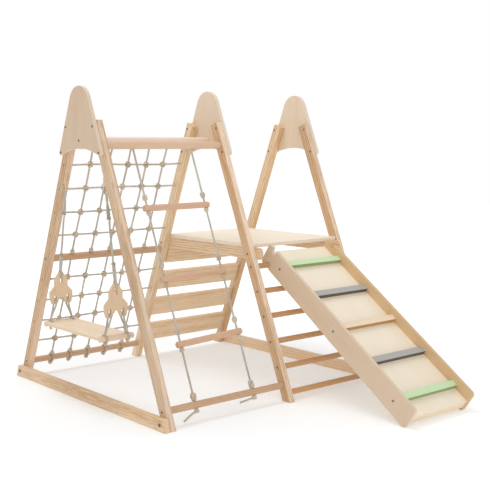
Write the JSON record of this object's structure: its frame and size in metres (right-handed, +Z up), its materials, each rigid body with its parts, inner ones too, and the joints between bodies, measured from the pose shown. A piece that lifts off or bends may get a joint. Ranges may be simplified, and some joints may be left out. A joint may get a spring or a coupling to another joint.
{
  "type": "children's climbing frame",
  "caption": "Wooden A-frame climbing set with a rope net, rope ladder, swing seat, slatted platform and hooked-on ramp, for a small child to climb.",
  "frame": {"origin": "middle of the underside of the left floor rail, on the floor", "axes": "+Z up; +X from the swing end to the platform end; -Y is the front, where the rope ladder and the ramp are"},
  "size_m": [1.2775, 1.7481, 1.3],
  "materials": {
    "pine": "oiled",
    "plywood": "satin",
    "dowel": "satin",
    "rope": "twisted cotton",
    "mint_paint": "painted",
    "grey_paint": "painted",
    "screw": "black"
  },
  "bodies": {
    "frame": {"left_rear_leg": "pine", "left_front_leg": "pine", "middle_rear_leg": "pine", "middle_front_leg": "pine", "right_rear_leg": "pine", "right_front_leg": "pine", "left_apex_plate": "plywood", "middle_apex_plate": "plywood", "right_apex_plate": "plywood", "left_floor_rail": "pine", "right_floor_rail": "pine", "top_front_bar": "dowel", "top_center_bar": "dowel", "top_rear_bar": "dowel", "middle_rear_bar": "dowel", "bottom_rear_bar": "dowel", "bottom_front_bar": "dowel", "net_upper": "rope", "net_lower": "rope", "ladder_rope_left": "rope", "ladder_rope_right": "rope", "ladder_rung_1": "dowel", "ladder_rung_2": "dowel", "ladder_rung_3": "dowel", "ladder_tail_left": "rope", "ladder_tail_right": "rope", "platform_board": "plywood", "platform_rail_left": "pine", "platform_rail_right": "pine", "rear_slat_1": "pine", "rear_slat_2": "pine", "rear_slat_3": "pine", "rear_slat_4": "pine", "front_rung_1": "dowel", "front_rung_2": "dowel", "front_rung_3": "dowel", "front_rung_4": "dowel", "front_rung_5": "dowel", "front_rung_6": "dowel", "swing_hangers": "plywood", "frame_screws": "screw"},
    "swing": {"swing_rope_rear": "rope", "swing_rope_front": "rope", "rocket_rear": "plywood", "rocket_front": "plywood", "seat_bar_rear": "dowel", "seat_bar_front": "dowel", "seat_ropes": "rope", "swing_seat": "plywood"},
    "ramp": {"ramp_panel_left": "plywood", "ramp_panel_right": "plywood", "ramp_board": "plywood", "ramp_tread_1": "mint_paint", "ramp_tread_2": "grey_paint", "ramp_tread_3": "dowel", "ramp_tread_4": "grey_paint", "ramp_tread_5": "mint_paint", "ramp_batten": "pine", "ramp_screws": "screw"}
  },
  "joints": [
    {"name": "swing_hinge", "type": "hinge", "parent": "frame", "child": "swing", "pos_m": [0.0195, 0, 0.88], "axis": [0, 1, 0], "range_deg": [-30, 30]},
    {"name": "ramp_hinge", "type": "hinge", "parent": "frame", "child": "ramp", "pos_m": [0.904, -0.33806, 0.5435], "axis": [-1, 0, 0], "range_deg": [0, 16]}
  ]
}
